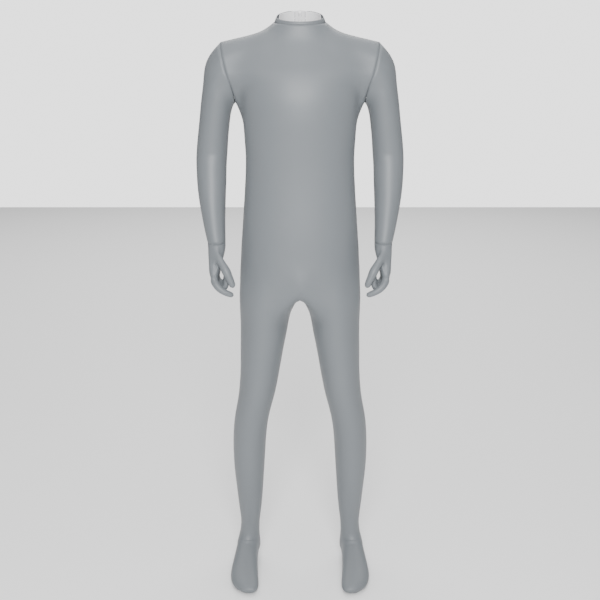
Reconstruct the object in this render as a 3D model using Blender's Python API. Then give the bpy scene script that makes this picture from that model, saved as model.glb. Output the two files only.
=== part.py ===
"""Full body spandex suit, worn shape with no wearer, as thin cloth walls and a back zip.

Metres, +Z up, the front faces -Y and +X is the wearer's left.
Heights in the tables are above the soles; the origin is where the shoulders carry the suit.
"""
import math

import bmesh
import bpy
from mathutils import Vector

# Driving sizes
HOLD_HEIGHT = 1.45
WALL = 0.0012
SEAM_GAP = 0.0003
YOKE_GAP = 0.0004
YOKE_HEIGHT = 1.335
ARMPIT_GAP = 0.0008
ARMPIT_TOP = 1.375
ARMPIT_INNER = 0.15
FOOT_TOP = 0.17
RIM_CENTRE_HEIGHT = 1.562
RIM_SLOPE = 0.31
BASE_SLOPE = 0.21
BAND_HEIGHT = 0.013
CROTCH_HEIGHT = 0.797
CROTCH_REACH = 0.02
BLEND = 0.022
ARM_BLEND = 0.034
FOLD_BLEND = 0.050
FOLD_HEIGHT = 1.415
FOLD_SPREAD = 0.035

# Divisions of the skin
QUARTER_COLUMNS = 8
NECK_COLUMNS = 4
ARMHOLE_ROWS = 10
ZIP_BODY_ROW = 7
RING = 20
SLEEVE_CAP_RINGS = 4
YOKE_ROUNDS = 12
CAP_ROUNDS = 10

# Zip at the centre back
ZIP_BOTTOM = 1.027
ZIP_HALF_GAP = 0.0038
TAPE_WIDTH = 0.0135
TAPE_THICKNESS = 0.0006
CHAIN_HALF_WIDTH = 0.0034
CHAIN_DEPTH = 0.0002
CHAIN_THICKNESS = 0.0014
INSIDE_GAP = 0.0005
FACING_THICKNESS = 0.0008
FACING_START = 0.64
FACING_DROPS = (0.9, 0.7, 0.25, 0.08)
FACING_GAP = 0.0009

# Columns: height, half width, front depth, back depth
TORSO_ROWS = (
    (0.760, 0.150, 0.080, 0.100),
    (0.815, 0.165, 0.090, 0.114),
    (0.880, 0.165, 0.094, 0.118),
    (0.950, 0.161, 0.094, 0.108),
    (1.020, 0.156, 0.092, 0.095),
    (1.100, 0.150, 0.090, 0.085),
    (1.160, 0.1465, 0.091, 0.082),
    (1.210, 0.1455, 0.095, 0.085),
    (1.260, 0.149, 0.101, 0.093),
    (1.310, 0.154, 0.106, 0.101),
    (1.360, 0.162, 0.105, 0.107),
    (1.410, 0.165, 0.094, 0.104),
    (1.450, 0.155, 0.078, 0.090),
    (1.480, 0.135, 0.066, 0.076),
    (1.500, 0.118, 0.059, 0.069),
    (1.515, 0.100, 0.056, 0.065),
    (1.530, 0.083, 0.054, 0.062),
    (1.545, 0.0690, 0.053, 0.060),
    (1.560, 0.0612, 0.052, 0.059),
    (1.600, 0.0580, 0.050, 0.058),
)

# Columns: height, centre x, centre y, half width, half depth
ARM_ROWS = (
    (0.960, 0.2240, -0.040, 0.0245, 0.0300),
    (0.975, 0.2245, -0.036, 0.0243, 0.0300),
    (1.000, 0.2280, -0.029, 0.0270, 0.0320),
    (1.040, 0.2322, -0.017, 0.0310, 0.0360),
    (1.080, 0.2362, -0.005, 0.0350, 0.0400),
    (1.120, 0.2378, 0.008, 0.0390, 0.0425),
    (1.165, 0.2394, 0.020, 0.0406, 0.0435),
    (1.207, 0.2382, 0.030, 0.0418, 0.0440),
    (1.250, 0.2341, 0.026, 0.0414, 0.0450),
    (1.290, 0.2290, 0.021, 0.0405, 0.0470),
    (1.334, 0.2222, 0.016, 0.0426, 0.0500),
    (1.370, 0.2130, 0.011, 0.0455, 0.0520),
    (1.410, 0.2045, 0.007, 0.0480, 0.0520),
    (1.450, 0.1930, 0.005, 0.0485, 0.0500),
)

# Columns: height, centre x, centre y, half width, half depth
LEG_ROWS = (
    (0.040, 0.1525, 0.034, 0.0290, 0.0380),
    (0.076, 0.1495, 0.032, 0.0285, 0.0365),
    (0.108, 0.1475, 0.030, 0.0268, 0.0350),
    (0.148, 0.1469, 0.028, 0.0297, 0.0370),
    (0.201, 0.1461, 0.024, 0.0354, 0.0410),
    (0.254, 0.1467, 0.021, 0.0396, 0.0470),
    (0.305, 0.1474, 0.020, 0.0438, 0.0540),
    (0.357, 0.1466, 0.018, 0.0464, 0.0580),
    (0.408, 0.1442, 0.012, 0.0476, 0.0590),
    (0.459, 0.1391, 0.004, 0.0487, 0.0570),
    (0.509, 0.1282, -0.002, 0.0499, 0.0590),
    (0.557, 0.1192, -0.003, 0.0525, 0.0640),
    (0.604, 0.1130, -0.001, 0.0551, 0.0690),
    (0.652, 0.1083, 0.001, 0.0591, 0.0745),
    (0.698, 0.1037, 0.004, 0.0630, 0.0800),
    (0.745, 0.0985, 0.007, 0.0676, 0.0860),
    (0.791, 0.0945, 0.009, 0.0730, 0.0910),
    (0.840, 0.0910, 0.010, 0.0740, 0.0880),
)

# Columns: y, centre x, half width, top height, bottom height
FOOT_ROWS = (
    (-0.170, 0.1410, 0.0140, 0.0180, 0.0060),
    (-0.160, 0.1455, 0.0255, 0.0250, 0.0010),
    (-0.142, 0.1515, 0.0345, 0.0310, -0.0030),
    (-0.120, 0.1565, 0.0385, 0.0380, -0.0040),
    (-0.094, 0.1595, 0.0392, 0.0460, -0.0040),
    (-0.060, 0.1595, 0.0370, 0.0600, -0.0035),
    (-0.030, 0.1580, 0.0345, 0.0750, -0.0030),
    (0.000, 0.1560, 0.0320, 0.0940, -0.0030),
    (0.030, 0.1540, 0.0305, 0.0980, -0.0030),
    (0.055, 0.1525, 0.0285, 0.0820, 0.0000),
    (0.070, 0.1520, 0.0210, 0.0600, 0.0080),
)

# Columns: centre y, centre height, turn of the ring in degrees
FOOT_RINGS = (
    (0.030, 0.085, 8.0),
    (0.026, 0.066, 22.0),
    (0.016, 0.056, 38.0),
    (0.000, 0.048, 54.0),
    (-0.022, 0.041, 69.0),
    (-0.052, 0.034, 81.0),
    (-0.082, 0.028, 90.0),
    (-0.109, 0.023, 90.0),
    (-0.133, 0.019, 90.0),
    (-0.152, 0.016, 90.0),
    (-0.165, 0.0140, 90.0),
)
TOE_TIP = (0.1395, -0.1730, 0.0120)
SOLE_FIRST_BAND = 3

# Front and back armhole, from the shoulder tip to the armpit. Columns: x, y, height
ARMHOLE_FRONT = (
    (0.2060, 0.005, 1.499),
    (0.2020, -0.036, 1.465),
    (0.1930, -0.052, 1.425),
    (0.1800, -0.048, 1.385),
    (0.1725, -0.022, 1.354),
    (0.1740, 0.008, 1.347),
)
ARMHOLE_BACK = (
    (0.2060, 0.005, 1.499),
    (0.2020, 0.045, 1.465),
    (0.1970, 0.064, 1.425),
    (0.1860, 0.066, 1.385),
    (0.1760, 0.038, 1.355),
    (0.1740, 0.008, 1.347),
)

# Rows of the body from the armpit to the crotch, close together where the zip ends
BODY_SHARES = (0.0, 0.09, 0.18, 0.27, 0.36, 0.45, 0.54, 0.63, 0.646, 0.75, 0.87, 1.0)
SLEEVE_HEIGHTS = (1.305, 1.262, 1.232, 1.207, 1.178, 1.140, 1.095, 1.050, 1.010, 0.975)
LEG_HEIGHTS = (0.772, 0.728, 0.675, 0.618, 0.565, 0.520, 0.475, 0.420, 0.360, 0.300, 0.240, 0.180, 0.125)

# Columns: height, centre x, centre y, half thickness, half width
PALM_ROWS = (
    (0.956, 0.2245, -0.040, 0.0228, 0.0320),
    (0.937, 0.2262, -0.044, 0.0200, 0.0350),
    (0.918, 0.2280, -0.047, 0.0172, 0.0375),
    (0.901, 0.2292, -0.050, 0.0150, 0.0390),
    (0.886, 0.2290, -0.052, 0.0125, 0.0385),
)
THUMB_FIRST_ROW = 1

# Each finger from its web to its tip. Columns: x, y, height, radius
FINGERS = (
    (
        (0.2285, -0.0805, 0.8800, 0.0106),
        (0.2225, -0.0880, 0.8685, 0.0100),
        (0.2110, -0.0930, 0.8575, 0.0092),
        (0.1965, -0.0935, 0.8490, 0.0083),
        (0.1835, -0.0920, 0.8435, 0.0072),
    ),
    (
        (0.2290, -0.0610, 0.8770, 0.0106),
        (0.2240, -0.0680, 0.8635, 0.0100),
        (0.2110, -0.0735, 0.8560, 0.0092),
        (0.1990, -0.0745, 0.8660, 0.0083),
        (0.1985, -0.0730, 0.8860, 0.0074),
    ),
    (
        (0.2290, -0.0415, 0.8780, 0.0104),
        (0.2240, -0.0480, 0.8650, 0.0097),
        (0.2110, -0.0535, 0.8580, 0.0089),
        (0.1995, -0.0550, 0.8680, 0.0080),
        (0.1990, -0.0540, 0.8870, 0.0072),
    ),
    (
        (0.2285, -0.0225, 0.8820, 0.0096),
        (0.2235, -0.0285, 0.8710, 0.0090),
        (0.2120, -0.0340, 0.8650, 0.0082),
        (0.2020, -0.0360, 0.8740, 0.0074),
        (0.2015, -0.0355, 0.8900, 0.0066),
    ),
)
THUMB = (
    (0.2150, -0.0770, 0.9400, 0.0155),
    (0.2030, -0.0870, 0.9210, 0.0130),
    (0.1930, -0.0930, 0.9010, 0.0112),
    (0.1850, -0.0960, 0.8840, 0.0098),
    (0.1795, -0.0970, 0.8710, 0.0082),
)
FINGER_POINTS = 8
KNUCKLE_ARCH = 0.006
PALM_POWER = 2.6

# Slider and pull tab
SLIDER_SHARE = 0.84
CHAIN_TOP_SHARE = 0.86
SLIDER_WIDTH = 0.0068
SLIDER_LENGTH = 0.0095
PLATE_THICKNESS = 0.0011
CHANNEL = 0.0022
BRIDGE_LENGTH = 0.0062
BRIDGE_RISE = 0.0034
BRIDGE_BAR = 0.0010
BRIDGE_WIDTH = 0.0020
TAB_LENGTH = 0.0260
TAB_WIDTH = 0.0062
TAB_THICKNESS = 0.0011
TAB_BAR = 0.0011
TAB_WINDOW = 0.0046


def interpolate(rows, key):
    """Values of a table at one key, smooth between the rows."""
    if key <= rows[0][0]:
        return rows[0][1:]
    if key >= rows[-1][0]:
        return rows[-1][1:]
    index = next(i for i in range(len(rows) - 1) if rows[i + 1][0] >= key)
    low, high = rows[index], rows[index + 1]
    before = rows[max(index - 1, 0)]
    after = rows[min(index + 2, len(rows) - 1)]
    span = high[0] - low[0]
    t = (key - low[0]) / span
    values = []
    for column in range(1, len(low)):
        slope_low = (high[column] - before[column]) / (high[0] - before[0]) * span
        slope_high = (after[column] - low[column]) / (after[0] - low[0]) * span
        values.append(
            (2 * t**3 - 3 * t**2 + 1) * low[column]
            + (t**3 - 2 * t**2 + t) * slope_low
            + (3 * t**2 - 2 * t**3) * high[column]
            + (t**3 - t**2) * slope_high
        )
    return values


def ellipse_distance(across, along, half_across, half_along):
    """Near enough distance to an ellipse, negative inside."""
    scaled = math.hypot(across / half_across, along / half_along)
    if scaled < 1e-6:
        return -min(half_across, half_along)
    slope = math.hypot(across / half_across**2, along / half_along**2)
    return scaled * (scaled - 1.0) / slope


def soft_minimum(first, second, blend):
    """Union of two distances with a rounded inner corner."""
    overlap = max(blend - abs(first - second), 0.0) / blend
    return min(first, second) - overlap * overlap * blend * 0.25


def torso_distance(x, y, height):
    half_width, front, back = interpolate(TORSO_ROWS, height)
    depth = front if y < 0.0 else back
    distance = ellipse_distance(x, y, half_width, depth)
    return max(distance, CROTCH_HEIGHT + 0.022 - height)


def shoulder_distance(x, y, height):
    """A tapered bar from the neck base to the shoulder tip."""
    inner_x, inner_height, inner_radius = 0.100, 1.4780, 0.0440
    outer_x, outer_height, outer_radius = 0.193, 1.4525, 0.0480
    along_x = outer_x - inner_x
    along_height = outer_height - inner_height
    share = ((x - inner_x) * along_x + (height - inner_height) * along_height)
    share = min(max(share / (along_x**2 + along_height**2), 0.0), 1.0)
    off_x = x - inner_x - share * along_x
    off_height = height - inner_height - share * along_height
    return math.sqrt(off_x**2 + (y - 0.005) ** 2 + off_height**2) - (
        inner_radius + share * (outer_radius - inner_radius)
    )


def tube_distance(rows, x, y, height, top):
    centre_x, centre_y, half_width, half_depth = interpolate(rows, height)
    distance = ellipse_distance(x - centre_x, y - centre_y, half_width, half_depth)
    return max(distance, height - top)


def foot_distance(x, y, height):
    centre_x, half_width, top, bottom = interpolate(FOOT_ROWS, y)
    middle = (top + bottom) / 2
    distance = ellipse_distance(x - centre_x, height - middle, half_width, (top - bottom) / 2)
    beyond = max(FOOT_ROWS[0][0] - 0.004 - y, y - FOOT_ROWS[-1][0] - 0.004)
    return max(distance, beyond, -height)


def form(point):
    """Distance to the outside of the suit without its hands, for the wearer's left half."""
    x, y, height = abs(point.x), point.y, point.z
    if height < 0.16:
        leg = tube_distance(LEG_ROWS, x, y, height, 1.0)
        return soft_minimum(max(leg, 0.045 - height), foot_distance(x, y, height), 0.018)
    if height < 0.70:
        return tube_distance(LEG_ROWS, x, y, height, 1.0)
    if height < 0.95:
        near = tube_distance(LEG_ROWS, x, y, height, 0.845)
        far = tube_distance(LEG_ROWS, -x, y, height, 0.845)
        legs = soft_minimum(near, far, BLEND)
        return soft_minimum(torso_distance(x, y, height), legs, BLEND)
    torso = torso_distance(x, y, height)
    arm = tube_distance(ARM_ROWS, x, y, height, 1.4515)
    if height < 1.25:
        return min(torso, arm)
    arm = soft_minimum(shoulder_distance(x, y, height), arm, 0.010)
    bell = math.exp(-(((height - FOLD_HEIGHT) / FOLD_SPREAD) ** 2))
    return soft_minimum(torso, arm, ARM_BLEND + FOLD_BLEND * bell)


def gradient(point):
    step = 0.0004
    slope = Vector()
    for axis in range(3):
        offset = Vector()
        offset[axis] = step
        slope[axis] = (form(point + offset) - form(point - offset)) / (2 * step)
    return slope


def snap(point, keep_x=False):
    """Move a point along the slope of the form until it lies on it."""
    for _ in range(14):
        slope = gradient(point)
        if keep_x:
            slope.x = 0.0
        length = max(slope.length_squared, 0.05)
        move = slope * (form(point) / length)
        if move.length > 0.02:
            move *= 0.02 / move.length
        point = point - move
    return point


def cast(centre, direction, reach=0.3):
    """Where a ray from inside leaves the form."""
    low, high, step = 0.0, reach, 0.003
    while low + step < reach and form(centre + direction * (low + step)) < 0.0:
        low += step
    high = low + step
    for _ in range(24):
        middle = (low + high) / 2
        if form(centre + direction * middle) < 0.0:
            low = middle
        else:
            high = middle
    return centre + direction * low


def along(points, share):
    """Point at a share of an open line, smooth through its points."""
    place = share * (len(points) - 1)
    index = min(int(place), len(points) - 2)
    t = place - index
    a = Vector(points[max(index - 1, 0)])
    b = Vector(points[index])
    c = Vector(points[index + 1])
    d = Vector(points[min(index + 2, len(points) - 1)])
    return (
        b * 2 + (c - a) * t + (a * 2 - b * 5 + c * 4 - d) * t**2 + (b * 3 - a - c * 3 + d) * t**3
    ) / 2


def neck_point(angle, drop, slope):
    """Point of the neck on a tilted plane; angle 0 is the side, negative the front."""
    axis = Vector((0.0, 0.0, RIM_CENTRE_HEIGHT - drop))
    direction = Vector((math.cos(angle), math.sin(angle), slope * math.sin(angle)))
    return cast(axis, direction)


def neck_line(sign, drop, slope):
    """Quarter of the neck from the centre (front for sign -1) to the side."""
    points = []
    for step in range(NECK_COLUMNS + 1):
        angle = sign * math.pi / 2 * (1 - step / NECK_COLUMNS)
        points.append(neck_point(angle, drop, slope))
    points[0].x = 0.0
    return points


def body_row(sign, share):
    """Quarter ring of the body below the armpit, from the centre to the side seam."""
    armpit = Vector(ARMHOLE_FRONT[-1])
    centre_height = 1.360 + (0.838 - 1.360) * share
    side_height = armpit.z + (0.800 - armpit.z) * share
    row = []
    for column in range(QUARTER_COLUMNS + 1):
        turn = column / QUARTER_COLUMNS
        height = centre_height + (side_height - centre_height) * turn**2
        half_width, front, back = interpolate(TORSO_ROWS, height)
        depth = front if sign < 0 else back
        angle = math.pi / 2 * turn
        guess = Vector((half_width * math.sin(angle), sign * depth * math.cos(angle), height))
        row.append(snap(guess, keep_x=column == 0))
    return row


def shoulder_seam():
    """From the side of the neck to the shoulder tip."""
    start = neck_point(0.0, BAND_HEIGHT, BASE_SLOPE)
    tip = snap(Vector(ARMHOLE_FRONT[0]))
    steps = QUARTER_COLUMNS - NECK_COLUMNS
    points = [start]
    for step in range(1, steps):
        points.append(snap(start.lerp(tip, step / steps) + Vector((0.0, 0.0, 0.004))))
    points.append(tip)
    return points


def yoke(sign, armhole, seam, armpit_row):
    """Rows between the neck and the armpit: a patch stretched between its four edges."""
    top = neck_line(sign, BAND_HEIGHT, BASE_SLOPE)[:-1] + seam
    left_top, left_bottom = top[0], armpit_row[0]
    rows = [top]
    for step in range(1, ARMHOLE_ROWS):
        v = step / ARMHOLE_ROWS
        left = left_top.lerp(left_bottom, v)
        right = armhole[step]
        row = []
        for column in range(QUARTER_COLUMNS + 1):
            u = column / QUARTER_COLUMNS
            blend = top[column].lerp(armpit_row[column], v) + left.lerp(right, u)
            corners = left_top.lerp(left_bottom, v).lerp(top[-1].lerp(armpit_row[-1], v), u)
            guess = blend - corners
            row.append(right.copy() if column == QUARTER_COLUMNS else snap(guess, keep_x=column == 0))
        rows.append(row)
    return rows


def relax(rows, first, last, rounds):
    """Even out the spacing of inner points while they stay on the form."""
    for _ in range(rounds):
        for row in range(first, last + 1):
            for column in range(len(rows[row]) - 1):
                above, below = rows[row - 1][column], rows[row + 1][column]
                if column == 0:
                    rows[row][0] = snap((above + below) / 2, keep_x=True)
                    continue
                beside = rows[row][column - 1] + rows[row][column + 1]
                rows[row][column] = snap((above + below + beside) / 4)


def leg_ring(height):
    centre_x, centre_y, half_width, half_depth = interpolate(LEG_ROWS, height)
    centre = Vector((centre_x, centre_y, height))
    ring = []
    for step in range(RING):
        angle = 2 * math.pi * step / RING
        direction = Vector((math.cos(angle) * half_width, -math.sin(angle) * half_depth, 0.0))
        ring.append(cast(centre, direction.normalized()))
    return ring


def foot_ring(centre_y, height, turn):
    centre_x = interpolate(FOOT_ROWS, centre_y)[0]
    centre = Vector((centre_x, centre_y, height))
    tilt = math.radians(turn)
    ring = []
    for step in range(RING):
        angle = 2 * math.pi * step / RING
        reach = math.sin(angle) * (0.75 + 0.1 * math.cos(tilt))
        direction = Vector((math.cos(angle), -reach * math.cos(tilt), reach * math.sin(tilt)))
        ring.append(cast(centre, direction.normalized()))
    return ring


def arm_ring(height):
    centre_x, centre_y, half_width, half_depth = interpolate(ARM_ROWS, height)
    ring = []
    for step in range(RING):
        angle = 2 * math.pi * step / RING
        offset = Vector((math.cos(angle) * half_width, -math.sin(angle) * half_depth, 0.0))
        ring.append(Vector((centre_x, centre_y, height)) + offset)
    return ring


def palm_ring(height, centre_x, centre_y, half_thickness, half_width):
    """Flat oval ring; points 4 to 16 lie on the back of the hand, 6 to 14 on the palm."""
    ring = []
    for step in range(RING):
        angle = 2 * math.pi * step / RING
        side = -math.sin(angle)
        side = math.copysign(abs(side) ** 0.72, side)
        depth = max(1.0 - abs(side) ** PALM_POWER, 0.0) ** (1 / PALM_POWER)
        depth = math.copysign(depth, math.cos(angle)) if step % 10 != 5 else 0.0
        rise = KNUCKLE_ARCH * side * side * (1 if height < 0.90 else 0)
        offset = Vector((half_thickness * depth, half_width * side, rise))
        ring.append(Vector((centre_x, centre_y, height)) + offset)
    return ring


def finger_rings(rows, count):
    """Rings along a bent finger and its tip; point 0 is on the back, point 2 to the front."""
    line = [Vector(row[:3]) for row in rows]
    radii = [(index, row[3]) for index, row in enumerate(rows)]
    back = Vector((1.0, 0.0, 0.0))
    rings = []
    for step in range(count):
        share = step / (count - 1)
        centre = along(line, share)
        ahead = (along(line, min(share + 0.02, 1.0)) - along(line, max(share - 0.02, 0.0))).normalized()
        back = (back - ahead * back.dot(ahead)).normalized()
        front = back.cross(ahead)
        if front.y > 0.0:
            front = -front
        radius = interpolate(radii, share * (len(rows) - 1))[0]
        ring = []
        for point in range(FINGER_POINTS):
            angle = 2 * math.pi * point / FINGER_POINTS
            ring.append(centre + (back * math.cos(angle) + front * math.sin(angle)) * radius)
        rings.append(ring)
    last = rows[-1][3]
    cap = [centre + ahead * last * 0.62 + (point - centre) * 0.62 for point in rings[-1]]
    rings.append(cap)
    return rings, centre + ahead * last * 0.95


class Skin:
    """Outer points of the whole suit and the faces of each cut piece."""

    def __init__(self):
        self.points = []
        self.pieces = {}
        self.centre = {}
        self.back_rows = {}

    def add(self, point, side):
        placed = Vector((point.x * side, point.y, point.z - HOLD_HEIGHT))
        if abs(placed.x) < 1e-6 and placed.y < CROTCH_REACH:
            key = (round(placed.y, 6), round(placed.z, 6))
            if key in self.centre:
                return self.centre[key]
            self.centre[key] = len(self.points)
        self.points.append(placed)
        return len(self.points) - 1

    def add_all(self, points, side):
        return [self.add(point, side) for point in points]

    def face(self, piece, side, corners):
        faces = self.pieces.setdefault(piece, [])
        unique = list(dict.fromkeys(corners))
        faces.append(tuple(unique if side > 0 else reversed(unique)))

    def strip(self, piece, side, first, second):
        """Faces between two open rows of points."""
        for index in range(len(first) - 1):
            corners = (first[index], second[index], second[index + 1], first[index + 1])
            self.face(piece, side, corners)

    def band(self, piece, side, first, second):
        """Faces between two closed rings."""
        self.strip(piece, side, first + first[:1], second + second[:1])

    def fan(self, piece, side, ring, tip):
        for index, point in enumerate(ring):
            self.face(piece, side, (point, tip, ring[(index + 1) % len(ring)]))


def half_points():
    """All point rows of the wearer's left half."""
    armhole_front = [snap(along(ARMHOLE_FRONT, step / ARMHOLE_ROWS)) for step in range(ARMHOLE_ROWS + 1)]
    armhole_back = [snap(along(ARMHOLE_BACK, step / ARMHOLE_ROWS)) for step in range(ARMHOLE_ROWS + 1)]
    seam = shoulder_seam()
    front_rows = [body_row(-1, share) for share in BODY_SHARES]
    back_rows = [body_row(1, share) for share in BODY_SHARES]
    armpit = armhole_front[-1]
    front_rows[0][-1] = armpit
    for front_row, back_row in zip(front_rows, back_rows):
        back_row[-1] = front_row[-1]
    front = yoke(-1, armhole_front, seam, front_rows[0]) + front_rows
    back = yoke(1, armhole_back, seam, back_rows[0]) + back_rows
    relax(front, 1, ARMHOLE_ROWS + 1, YOKE_ROUNDS)
    relax(back, 1, ARMHOLE_ROWS + 1, YOKE_ROUNDS)
    return front, back, armhole_front, armhole_back


def build_body(skin, side, rows):
    front, back, armhole_front, armhole_back = rows
    name = "left" if side > 0 else "right"
    front_ids = [skin.add_all(row, side) for row in front]
    back_ids = [skin.add_all(row, side) for row in back]
    for row in range(len(front_ids)):
        if row >= ARMHOLE_ROWS:
            back_ids[row][-1] = front_ids[row][-1]
    back_ids[0][NECK_COLUMNS:] = front_ids[0][NECK_COLUMNS:]
    for upper, lower in zip(front_ids, front_ids[1:]):
        skin.strip("front", side, upper, lower)
    for upper, lower in zip(back_ids, back_ids[1:]):
        skin.strip("back_" + name, -side, upper, lower)
    rim_front = skin.add_all(neck_line(-1, 0.0, RIM_SLOPE), side)
    rim_back = skin.add_all(neck_line(1, 0.0, RIM_SLOPE), side)
    rim_back[-1] = rim_front[-1]
    skin.strip("neckband", side, rim_front, front_ids[0][: NECK_COLUMNS + 1])
    skin.strip("neckband", -side, rim_back, back_ids[0][: NECK_COLUMNS + 1])
    skin.back_rows[side] = [rim_back] + back_ids
    armhole = [row[-1] for row in front_ids[: ARMHOLE_ROWS + 1]]
    armhole += [row[-1] for row in reversed(back_ids[1:ARMHOLE_ROWS])]
    armhole_points = armhole_front + list(reversed(armhole_back[1:ARMHOLE_ROWS]))
    return front_ids[-1], back_ids[-1], armhole, armhole_points


def build_leg(skin, side, front_row, back_row, last_front, last_back):
    name = "left" if side > 0 else "right"
    crotch = snap(Vector((0.0, 0.004, CROTCH_HEIGHT)), keep_x=True)
    front_middle = snap(last_front.lerp(crotch, 0.52) - Vector((0.0, 0.0, 0.006)), keep_x=True)
    back_middle = snap(last_back.lerp(crotch, 0.52) - Vector((0.0, 0.0, 0.006)), keep_x=True)
    bridge = [skin.add(point, side) for point in (front_middle, crotch, back_middle)]
    upper = list(reversed(front_row)) + bridge + back_row[:-1]
    half = RING // 2
    rings = [leg_ring(height) for height in LEG_HEIGHTS]
    rings += [foot_ring(*row) for row in FOOT_RINGS]
    for index, ring in enumerate(rings):
        lower = skin.add_all(ring, side)
        foot_band = index - len(LEG_HEIGHTS)
        under = "sole_" if foot_band >= SOLE_FIRST_BAND else "back_"
        skin.strip("front", -side, upper[: half + 1], lower[: half + 1])
        skin.strip(under + name, -side, upper[half:] + upper[:1], lower[half:] + lower[:1])
        upper = lower
    tip = skin.add(Vector(TOE_TIP), side)
    for index in range(RING):
        piece = "front" if index < half else "sole_" + name
        skin.face(piece, -side, (upper[index], tip, upper[(index + 1) % RING]))


def build_sleeve(skin, side, armhole, armhole_points):
    piece = "sleeve_" + ("left" if side > 0 else "right")
    first_ring = [snap(point) for point in arm_ring(SLEEVE_HEIGHTS[0])]
    rings = []
    for step in range(1, SLEEVE_CAP_RINGS):
        share = step / SLEEVE_CAP_RINGS
        rings.append([snap(a.lerp(b, share)) for a, b in zip(armhole_points, first_ring)])
    cap = [armhole_points] + rings + [first_ring]
    for _ in range(CAP_ROUNDS):
        for ring in range(1, SLEEVE_CAP_RINGS):
            for index in range(RING):
                beside = cap[ring][index - 1] + cap[ring][(index + 1) % RING]
                cap[ring][index] = snap((cap[ring - 1][index] + cap[ring + 1][index] + beside) / 4)
    rings = cap[1:] + [arm_ring(height) for height in SLEEVE_HEIGHTS[1:]]
    upper = armhole
    for ring in rings:
        lower = skin.add_all(ring, side)
        skin.band(piece, -side, upper, lower)
        upper = lower
    return upper


def build_glove(skin, side, wrist):
    piece = "glove_" + ("left" if side > 0 else "right")
    rings = [wrist] + [skin.add_all(palm_ring(*row), side) for row in PALM_ROWS]
    thumb_rows = range(THUMB_FIRST_ROW, THUMB_FIRST_ROW + 2)
    for row, (upper, lower) in enumerate(zip(rings, rings[1:])):
        for index in range(RING):
            if row in thumb_rows and index in (4, 5):
                continue
            after = (index + 1) % RING
            skin.face(piece, -side, (upper[index], lower[index], lower[after], upper[after]))
    high, middle, low = rings[THUMB_FIRST_ROW : THUMB_FIRST_ROW + 3]
    loop = [middle[4], high[4], high[5], high[6], middle[6], low[6], low[5], low[4]]
    thumb_start = len(skin.points)
    grow_finger(skin, side, piece, loop, THUMB)

    knuckles = rings[-1]
    backs = [knuckles[index % RING] for index in range(4, -5, -1)]
    palms = knuckles[6:15]
    webs = [knuckles[5]]
    for gap in range(1, len(FINGERS)):
        middle_point = (skin.points[backs[2 * gap]] + skin.points[palms[2 * gap]]) / 2
        lifted = Vector((middle_point.x * side, middle_point.y, middle_point.z + HOLD_HEIGHT - 0.001))
        webs.append(skin.add(lifted, side))
    webs.append(knuckles[15])
    for finger, rows in enumerate(FINGERS):
        first = 2 * finger
        loop = [
            backs[first + 1], backs[first], webs[finger], palms[first],
            palms[first + 1], palms[first + 2], webs[finger + 1], backs[first + 2],
        ]
        grow_finger(skin, side, piece, loop, rows)
    thumb_root = {thumb_start + step for step in range(2 * FINGER_POINTS)}
    opening = {point for ring in (high, middle, low) for point in ring[3:8]}
    smooth_points(skin, piece, thumb_root | opening, 3)
    smooth_points(skin, piece, set(knuckles) | set(webs), 1)


def grow_finger(skin, side, piece, loop, rows):
    rings, tip = finger_rings(rows, 6)
    upper = loop
    for ring in rings:
        lower = skin.add_all(ring, side)
        skin.band(piece, -side, upper, lower)
        upper = lower
    skin.fan(piece, -side, upper, skin.add(tip, side))


def smooth_points(skin, piece, chosen, rounds):
    """Draw chosen points of one piece halfway to the middle of their neighbours."""
    near = {}
    for face in skin.pieces[piece]:
        for index, point in enumerate(face):
            if point in chosen:
                near.setdefault(point, set()).update((face[index - 1], face[(index + 1) % len(face)]))
    for _ in range(rounds):
        for point, beside in near.items():
            middle = sum((skin.points[other] for other in beside), Vector()) / len(beside)
            skin.points[point] = skin.points[point].lerp(middle, 0.5)


def vertex_normals(points, pieces):
    normals = [Vector() for _ in points]
    for faces in pieces.values():
        for face in faces:
            corners = [points[index] for index in face]
            area = Vector()
            for index in range(len(corners)):
                area += corners[index].cross(corners[(index + 1) % len(corners)])
            for index in face:
                normals[index] += area
    for point, normal in zip(points, normals):
        if abs(point.x) < 1e-6:
            normal.x = 0.0
    return [normal.normalized() for normal in normals]


def steer_normals(skin, normals):
    """Above the feet and outside the gloves the slope of the form gives truer normals."""
    hands = set()
    for piece in ("glove_left", "glove_right"):
        hands.update(index for face in skin.pieces[piece] for index in face)
    for index, point in enumerate(skin.points):
        place = point + Vector((0.0, 0.0, HOLD_HEIGHT))
        if place.z > FOOT_TOP and index not in hands:
            normals[index] = (normals[index] + gradient(place).normalized()).normalized()


def border_moves(faces, points, distance_at):
    """How far each border point of a piece steps back from its seam, and the border's edges."""
    owner = {}
    for face in faces:
        for index in range(len(face)):
            owner[(face[index], face[(index + 1) % len(face)])] = face
    border = [edge for edge in owner if (edge[1], edge[0]) not in owner]
    inward = {}
    for start, end in border:
        face = owner[(start, end)]
        run = (points[end] - points[start]).normalized()
        centre = sum((points[index] for index in face), Vector()) / len(face)
        reach = centre - (points[start] + points[end]) / 2
        direction = (reach - run * reach.dot(run)).normalized()
        for index in (start, end):
            inward.setdefault(index, []).append(direction)
    moves = {}
    for index, directions in inward.items():
        total = sum(directions, Vector())
        corner = total * (len(directions) / max(total.length_squared, 0.5))
        moves[index] = corner * distance_at(points[index])
    return moves, border


def seam_distance(point):
    """Half a seam gap; along the zip the edge is folded back further."""
    height = point.z + HOLD_HEIGHT
    if abs(point.x) < 1e-6 and point.y > 0.0 and height > ZIP_BOTTOM:
        return ZIP_HALF_GAP
    if YOKE_HEIGHT < height < ARMPIT_TOP and abs(point.x) > ARMPIT_INNER:
        return ARMPIT_GAP / 2
    if height > YOKE_HEIGHT:
        return YOKE_GAP / 2
    return SEAM_GAP / 2


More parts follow.
